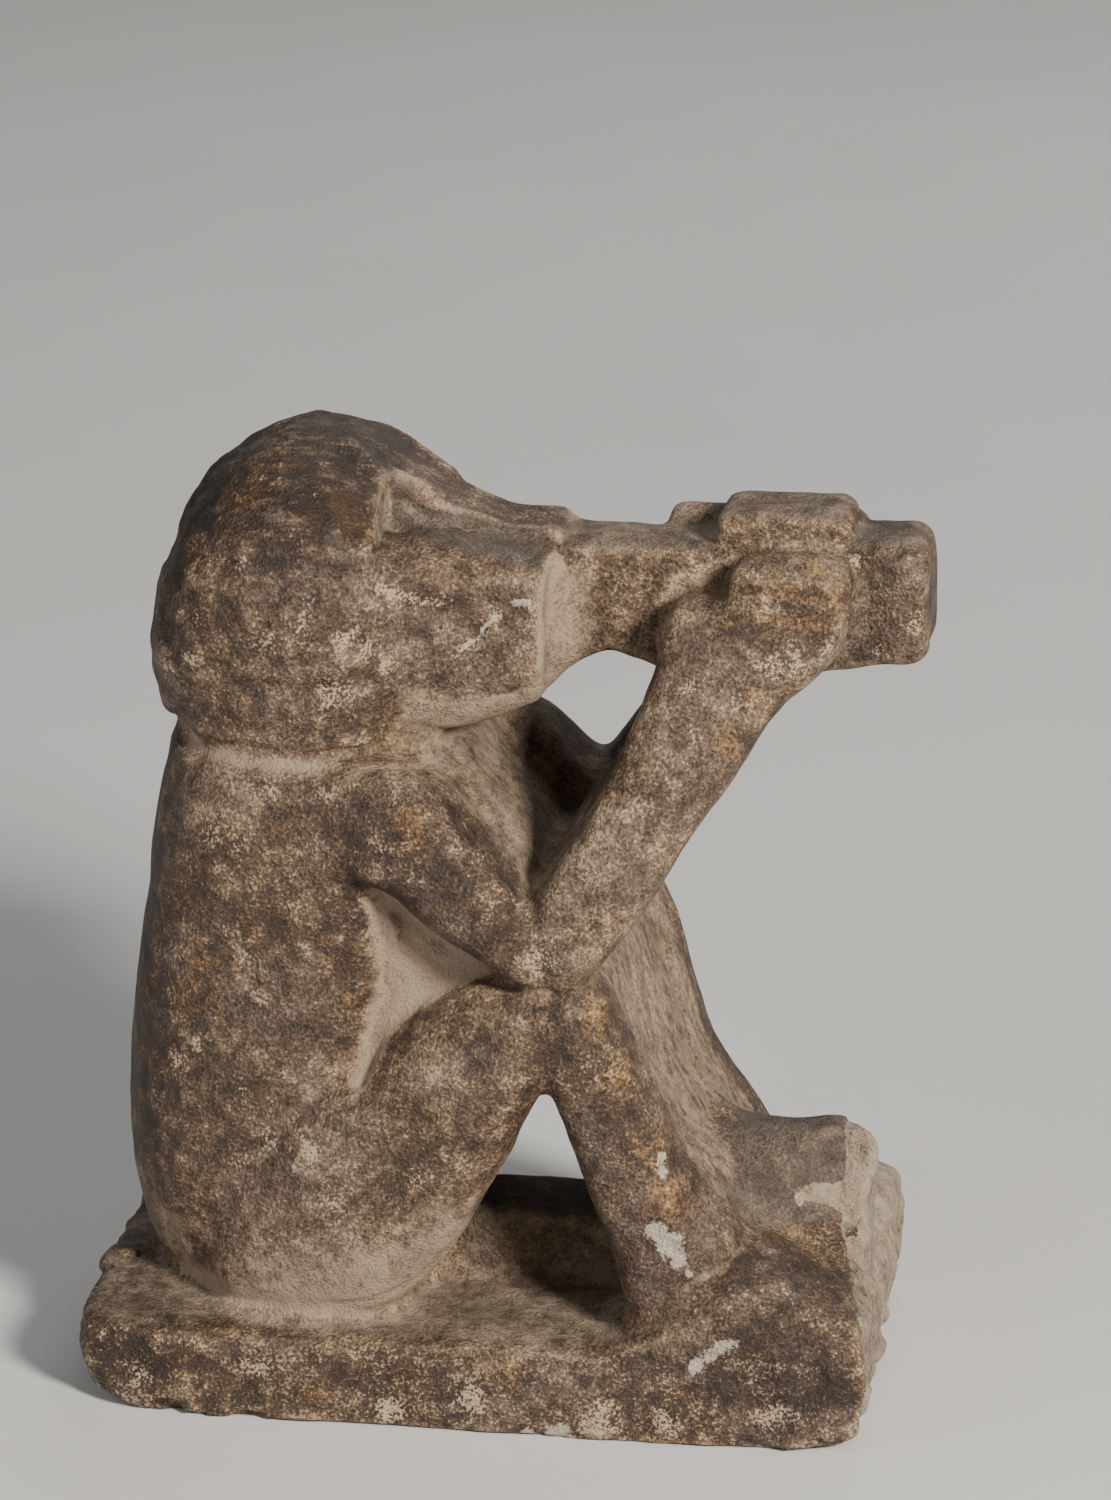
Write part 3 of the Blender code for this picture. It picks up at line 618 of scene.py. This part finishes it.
def pale_places(points, normals, ragged, places):
    """Hollows and creases where pale stone shows through the patina, with painted highlights on the nose's
    edge, the eye pockets' rear walls and the muzzle's end, and painted light on the belly web.
    """
    x, y, z = points.T
    out = np.abs(y)
    chest = rise(-out, -17.0, -14.5) * within(x, -8.0, 6.0, 3.0) * within(z, 44.0, 58.5, 2.0)
    vessel_root = within(x, 3.9, 6.5, 3.0) * within(z, 66.0, 76.0, 3.0) * rise(x, 3.6, 4.2)
    vessel_below = rise(-normals[:, 2], 0.1, 0.6) * within(x, 4.0, 41.0, 1.0) * within(z, 66.0, 70.5, 1.0)
    heel = near_lines(ragged, both_sides([FOOT_CREASE]), 0.8)
    # The pale line along the nose's edge is a painted highlight on the ridge
    brow = np.maximum(0.8 * near_lines(ragged, both_sides([NOSE_EDGE]), 1.2),
                      near_lines(ragged, both_sides([BROW]), 1.7))
    # The belly web's full pale is pale stone and also painted light where the arm shades it
    return np.maximum.reduce([
        0.6 * places.between_legs, places.belly_web, 0.8 * places.shin_web, 0.6 * chest,
        0.62 * places.plinth_face, 0.42 * places.vessel_face, places.muzzle_end, 0.75 * vessel_root,
        0.85 * places.jaw, 0.5 * vessel_below, places.line, places.flank, heel, 0.95 * places.above_hip,
        0.9 * brow, 0.9 * places.pocket_wall])


def white_places(points, ragged):
    """Fresh chips and scratches, white where the stone was struck."""
    chips = np.maximum(near_lines(points, [VESSEL_TICK], 0.4), near_spots(ragged, WHITE_CHIPS))
    chips = np.maximum(chips, 0.55 * near_lines(ragged, THIGH_SCRATCHES, 0.4))
    return np.maximum(chips, 0.85 * near_lines(ragged, CHEEK_SCRATCHES[1:], 0.62))


def dark_places(points, ragged, fine, places):
    """Darkened places: painted shade under the arms, painted shade with dirt in narrow creases, and the
    cheek's pit, the eye pockets' floors and the plinth's shoulder darkened.
    """
    # Narrow creases, darker as painted shade and dirt
    crease = 0.6 * rise(-fine, 0.035, 0.11) * (1 - np.maximum(places.line, places.above_hip))
    return np.maximum.reduce([
        # Under the arms the darkening is painted shade
        0.9 * near_lines(points, both_sides([UNDER_ARM]), 2.2), crease,
        1.3 * near_lines(points, [CHEEK_PIT], 1.3), 0.7 * places.pocket_floor,
        0.7 * near_lines(ragged, both_sides([PLINTH_SHOULDER]), 0.8)])


def grey_places(points, ragged, places):
    """Where the patina is thin and grey."""
    x, y, z = points.T
    out = np.abs(y)
    stump = rise(x, 21.0, 23.5) * within(z, 9.0, 18.0, 1.2) * rise(-out, -14.0, -9.0)
    nose_band = within(x, -9.8, 3.0, 0.8) * within(z, 78.2, 82.4, 0.8) * within(out, 4.4, 9.0, 0.8)
    return np.maximum.reduce([
        stump, 0.8 * places.plinth_face, places.between_legs, places.pocket_floor, 0.9 * nose_band,
        0.6 * places.vessel_face, 0.8 * near_spots(ragged, GREY_PATCHES)])


def tone_of(points, normals, fine, wide, hidden, places):
    """How light the patina is, around a half: worn edges are lighter, the mane's top darker, the back painted
    darker as shade, and the belly web and the muzzle's end painted lighter as light.
    """
    x, y, z = points.T
    out = np.abs(y)
    hollow = rise(-wide, 0.10, 0.45)
    edge = rise(wide, 0.12, 0.5) + 0.6 * rise(fine, 0.02, 0.08)
    tone = 0.5 + 0.125 * edge + 0.15 * hollow + 0.12 * rise(hidden, 0.1, 0.5) - 0.26 * places.mane_top
    # Painted light on the belly web, which the arm shades, besides its pale stone and the pale flank; painted
    # shade on the back, turned from the lamp
    tone += 0.70 * np.maximum(places.belly_web, 0.5 * places.flank) - 0.12 * rise(-x, 28.0, 36.0)
    upper_arm = within(x, -14.0, 2.0, 2.0) * within(z, 40.0, 56.0, 3.0) * rise(out, 17.0, 19.0)
    shin = within(x, 6.0, 20.0, 3.0) * within(z, 8.0, 34.0, 3.0) * rise(out, 17.0, 19.0)
    vessel_end = rise(x, 33.0, 35.0) * rise(z, 66.0, 68.0)
    vessel_neck = within(x, 5.0, 20.0, 1.0) * rise(z, 66.0, 68.0) * rise(-out, -7.0, -6.0)
    foot = within(x, 24.0, 36.0, 3.0) * within(-y, 16.0, 26.0, 3.0) * within(z, -4.0, 8.0, 2.0)
    tone -= 0.19 * upper_arm + 0.10 * shin + 0.12 * vessel_end + 0.18 * foot
    tone -= 0.05 * rough_plinth(points, normals)
    # The lift at the muzzle's end is a painted highlight
    tone += 0.30 * places.line + 0.18 * places.above_hip + 0.15 * places.muzzle_end + 0.12 * places.jaw
    tone += 0.12 * vessel_neck
    return tone


def weather_and_painted_light(stone):
    """Marks the stone's points with all that the material reads."""
    work = Carving(stone)
    points, normals = work.points, work.normals
    ragged = ragged_place(points)
    fine = ((points - work.softened(FINE_PASSES)) * normals).sum(axis=1)
    wide = ((points - work.softened(WIDE_PASSES)) * normals).sum(axis=1)
    places = Places(points, normals, ragged)
    broken = broken_front(points, normals)

    mark(stone, "pale", pale_places(points, normals, ragged, places))
    mark(stone, "drawn", np.maximum(places.shin_web, broken))
    cream = near_spots(ragged, CREAM_PATCHES)
    mark(stone, "cream", np.maximum(cream, 1.4 * near_lines(ragged, CHEEK_SCRATCHES, 1.0)))
    mark(stone, "white", white_places(points, ragged))
    mark(stone, "broken", broken)
    mark(stone, "rough", rough_plinth(points, normals))
    rust = near_spots(ragged, RUST_PATCHES)
    mark(stone, "rust", np.maximum(rust, near_lines(ragged, FINGER_LINES, 1.4)))
    mark(stone, "dark", dark_places(points, ragged, fine, places))
    mark(stone, "grey", grey_places(points, ragged, places))
    mark(stone, "tone", tone_of(points, normals, fine, wide, sheltered(stone, work), places))
    mark(stone, "mane", places.mane_top)


# The stone's finish

class Finish:
    """Adds shader nodes to one material and links them."""

    # The Mix node has sockets of the same name for each kind of data, so those for colours go by number
    MIX_UNDER, MIX_OVER, MIX_RESULT = 6, 7, 2

    def __init__(self, name):
        self.material = bpy.data.materials.new(name)
        self.material.use_nodes = True
        self.tree = self.material.node_tree
        self.shader = self.tree.nodes["Principled BSDF"]
        self.place = self.add("ShaderNodeTexCoord").outputs["Object"]

    def add(self, kind, **settings):
        node = self.tree.nodes.new(kind)
        for name, value in settings.items():
            setattr(node, name, value)
        return node

    def feed(self, socket, value):
        """Sets a socket, or links it where the value comes from another node."""
        if isinstance(value, bpy.types.NodeSocket):
            self.tree.links.new(value, socket)
        else:
            socket.default_value = value

    def mask(self, name):
        """A value that weather() has marked the points with."""
        return self.add("ShaderNodeAttribute", attribute_name=name).outputs["Fac"]

    def grain(self, size, detail=2.0, roughness=0.55, stretch=None):
        """Noise in lumps of about this many millimetres, around a half."""
        node = self.add("ShaderNodeTexNoise")
        place = self.place
        if stretch:
            mapping = self.add("ShaderNodeMapping")
            self.feed(mapping.inputs["Vector"], place)
            mapping.inputs["Scale"].default_value = stretch
            place = mapping.outputs["Vector"]
        self.feed(node.inputs["Vector"], place)
        node.inputs["Scale"].default_value = 1 / (size * MM)
        node.inputs["Detail"].default_value = detail
        node.inputs["Roughness"].default_value = roughness
        return node.outputs["Fac"]

    def ramp(self, value, low, high, start=0.0, end=1.0):
        """Start at low, changing smoothly to end at high, whichever of the two is larger."""
        node = self.add("ShaderNodeMapRange", interpolation_type="SMOOTHSTEP")
        self.feed(node.inputs["Value"], value)
        for name, number in (("From Min", low), ("From Max", high), ("To Min", start), ("To Max", end)):
            node.inputs[name].default_value = number
        return node.outputs["Result"]

    def palette(self, value, stops):
        """A run of colours over a value from 0 to 1."""
        node = self.add("ShaderNodeValToRGB")
        self.feed(node.inputs["Fac"], value)
        run = node.color_ramp.elements
        while len(run) < len(stops):
            run.new(0.5)
        for stop, (place, colour) in zip(run, stops):
            stop.position = place
            stop.color = (*colour, 1)
        return node.outputs["Color"]

    def maths(self, operation, one, two):
        node = self.add("ShaderNodeMath", operation=operation)
        self.feed(node.inputs[0], one)
        self.feed(node.inputs[1], two)
        return node.outputs["Value"]

    def times(self, one, two):
        return self.maths("MULTIPLY", one, two)

    def plus(self, one, two):
        return self.maths("ADD", one, two)

    def swing(self, value, weight):
        """How far a value lies from a half, times a weight."""
        return self.times(self.plus(value, -0.5), weight)

    def most(self, one, two):
        return self.maths("MAXIMUM", one, two)

    def blend(self, share, under, over, way="MIX"):
        """The second colour laid over the first by this share."""
        node = self.add("ShaderNodeMix", data_type="RGBA", blend_type=way, clamp_factor=True)
        self.feed(node.inputs["Factor"], share)
        self.feed(node.inputs[self.MIX_UNDER], under)
        self.feed(node.inputs[self.MIX_OVER], over)
        return node.outputs[self.MIX_RESULT]


def limestone():
    """Limestone under a brown patina, with cream grain, rust stains, pale hollows and fresh breaks, and
    painted light and shade in places.
    """
    f = Finish("weathered_limestone_and_painted_light")
    broad = f.grain(12.0, 3.0)
    patches = f.grain(4.0, 6.0, 0.6)
    mottle = f.grain(1.5, 5.0, 0.65)
    sand = f.grain(0.34, 3.0, 0.65)
    brushed = f.grain(0.8, 4.0, 0.6, stretch=(0.16, 1.0, 1.0))
    streaks = f.grain(0.9, 4.0, 0.6, stretch=(1.0, 1.0, 0.10))

    level = f.plus(f.swing(patches, 0.75), f.swing(mottle, 0.75))
    level = f.plus(level, f.swing(broad, 0.45))
    level = f.plus(level, f.swing(sand, 1.22))
    level = f.plus(level, f.swing(f.mask("tone"), 0.9))
    level = f.plus(level, f.swing(brushed, f.mask("mane")))
    level = f.plus(level, 0.48)

    patina = f.palette(level, (
        (0.17, (0.021, 0.013, 0.008)), (0.38, (0.053, 0.033, 0.020)), (0.53, (0.106, 0.069, 0.043)),
        (0.67, (0.172, 0.116, 0.072)), (0.84, (0.300, 0.213, 0.136))))
    plum = f.ramp(broad, 0.45, 0.62, 0.0, 0.5)
    colour = f.blend(plum, patina, f.blend(1.0, patina, (0.93, 0.95, 1.06, 1), "MULTIPLY"))
    rust = f.most(f.mask("rust"), f.ramp(broad, 0.56, 0.42, 0.0, 0.22))
    rust = f.times(rust, f.ramp(f.plus(f.times(mottle, 0.6), f.times(sand, 0.4)), 0.38, 0.52))
    colour = f.blend(f.times(rust, 0.80), colour, f.blend(f.ramp(level, 0.36, 0.72), RUST_DARK, RUST_LIGHT))

    crowd = f.plus(f.times(f.mask("cream"), 0.115), f.times(f.mask("rough"), 0.045))
    crowd = f.plus(crowd, f.swing(patches, 0.45))
    crowd = f.plus(crowd, f.swing(f.mask("tone"), 0.20))
    flecks = f.plus(f.plus(f.times(sand, 0.80), f.times(mottle, 0.20)), crowd)
    speck = f.blend(f.ramp(f.plus(mottle, f.times(f.mask("cream"), 0.2)), 0.42, 0.60), TAN, CREAM)
    colour = f.blend(f.ramp(flecks, 0.594, 0.675, 0.0, 0.85), colour, speck)

    grey = f.ramp(f.plus(f.mask("grey"), f.swing(patches, 0.9)), 0.3, 0.75)
    grey_stone = f.palette(level, (
        (0.20, (0.046, 0.034, 0.025)), (0.50, (0.092, 0.071, 0.053)), (0.85, (0.165, 0.130, 0.098))))
    colour = f.blend(f.times(grey, 0.8), colour, grey_stone)

    # Pale stone, with painted highlights and painted light where the pale mask holds them
    pale = f.ramp(f.plus(f.mask("pale"), f.swing(mottle, 0.8)), 0.22, 0.85)
    drawn_out = f.plus(level, f.times(f.swing(streaks, f.mask("drawn")), 1.3))
    pale_stone_and_highlight = f.palette(drawn_out, (
        (0.20, (0.090, 0.062, 0.038)), (0.45, (0.192, 0.140, 0.092)), (0.75, (0.330, 0.252, 0.172))))
    colour = f.blend(f.times(pale, 0.9), colour, pale_stone_and_highlight)

    broken = f.ramp(f.plus(f.mask("broken"), f.swing(sand, 0.9)), 0.38, 0.62)
    bare_stone = f.palette(drawn_out, (
        (0.15, (0.100, 0.072, 0.046)), (0.40, (0.235, 0.180, 0.122)), (0.75, (0.350, 0.280, 0.198))))
    colour = f.blend(f.times(broken, 0.95), colour, bare_stone)
    white = f.ramp(f.plus(f.mask("white"), f.times(f.plus(f.plus(mottle, sand), -1.0), 0.8)), 0.32, 0.56)
    chalk = f.palette(f.plus(f.times(sand, 0.5), f.times(mottle, 0.5)), (
        (0.38, (0.200, 0.150, 0.105)), (0.48, (0.400, 0.330, 0.255)), (0.62, (0.500, 0.440, 0.365))))
    colour = f.blend(f.times(white, 0.9), colour, chalk)

    # Painted shade and dirt: the dark mask laid over the colour in near black
    dark = f.ramp(f.plus(f.mask("dark"), f.swing(mottle, 0.9)), 0.35, 0.9)
    colour = f.blend(f.times(dark, 0.6), colour, SHADE_AND_DIRT)
    f.feed(f.shader.inputs["Base Color"], colour)

    f.feed(f.shader.inputs["Roughness"], f.ramp(f.plus(f.times(pale, 0.4), sand), 0.35, 0.95, 0.52, 0.90))
    f.shader.inputs["Specular IOR Level"].default_value = 0.40

    height = f.plus(mottle, f.plus(f.times(sand, 0.85), f.times(f.grain(0.20, 2.0), 0.30)))
    height = f.plus(height, f.times(f.times(brushed, f.mask("mane")), 0.5))
    bump = f.add("ShaderNodeBump")
    bump.inputs["Strength"].default_value = 1.0
    bump.inputs["Distance"].default_value = 0.46 * MM
    f.feed(bump.inputs["Height"], height)
    f.feed(f.shader.inputs["Normal"], bump.outputs["Normal"])
    return f.material


# Floor, light and camera

def floor():
    """A plain pale floor, wide enough to fill every view."""
    bpy.ops.object.select_all(action="DESELECT")
    bpy.ops.mesh.primitive_plane_add(size=3.0)
    ground = bpy.context.object
    ground.name = "floor"
    f = Finish("pale_floor")
    cloudy = f.blend(f.grain(60.0, 3.0), (0.60, 0.59, 0.575, 1), (0.66, 0.65, 0.635, 1))
    f.feed(f.shader.inputs["Base Color"], cloudy)
    f.shader.inputs["Roughness"].default_value = 0.8
    ground.data.materials.append(f.material)


def lamp(name, place, size, watts, colour):
    """A soft round lamp that shines on the middle of the figurine."""
    light = bpy.data.lights.new(name, "AREA")
    light.shape = "DISK"
    light.size = size
    light.energy = watts
    light.color = colour
    made = bpy.data.objects.new(name, light)
    bpy.context.scene.collection.objects.link(made)
    made.location = place
    aim = Vector(FIGURE_MIDDLE) - Vector(place)
    made.rotation_euler = aim.to_track_quat("-Z", "Y").to_euler()


def lights():
    lamp("key", (0.58, -0.64, 0.50), 0.19, 18.4, (1.0, 0.95, 0.885))
    lamp("fill", (-0.55, -0.50, 0.40), 0.60, 2.1, (0.95, 0.97, 1.0))
    lamp("rim", (0.10, 0.60, 0.45), 0.40, 1.2, (1.0, 0.98, 0.95))
    world = bpy.data.worlds.new("soft_room")
    world.use_nodes = True
    background = world.node_tree.nodes["Background"]
    background.inputs["Color"].default_value = (0.90, 0.92, 0.95, 1)
    background.inputs["Strength"].default_value = 0.15
    bpy.context.scene.world = world


def camera():
    """Looks at the figurine from where the photograph was taken."""
    lens = bpy.data.cameras.new("photo_view")
    lens.sensor_fit = "VERTICAL"
    lens.sensor_height = 36.0
    lens.lens = CAMERA_LENS
    lens.clip_start = 0.01
    made = bpy.data.objects.new("photo_view", lens)
    bpy.context.scene.collection.objects.link(made)
    made.location = CAMERA_PLACE
    aim = Vector(CAMERA_TARGET) - Vector(CAMERA_PLACE)
    made.rotation_euler = aim.to_track_quat("-Z", "Y").to_euler()
    bpy.context.scene.camera = made


camera()
floor()
lights()
baboon = build_stone()
weather_and_painted_light(baboon)
baboon.data.materials.append(limestone())
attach(baboon, "root")
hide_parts("baboon_figurine")
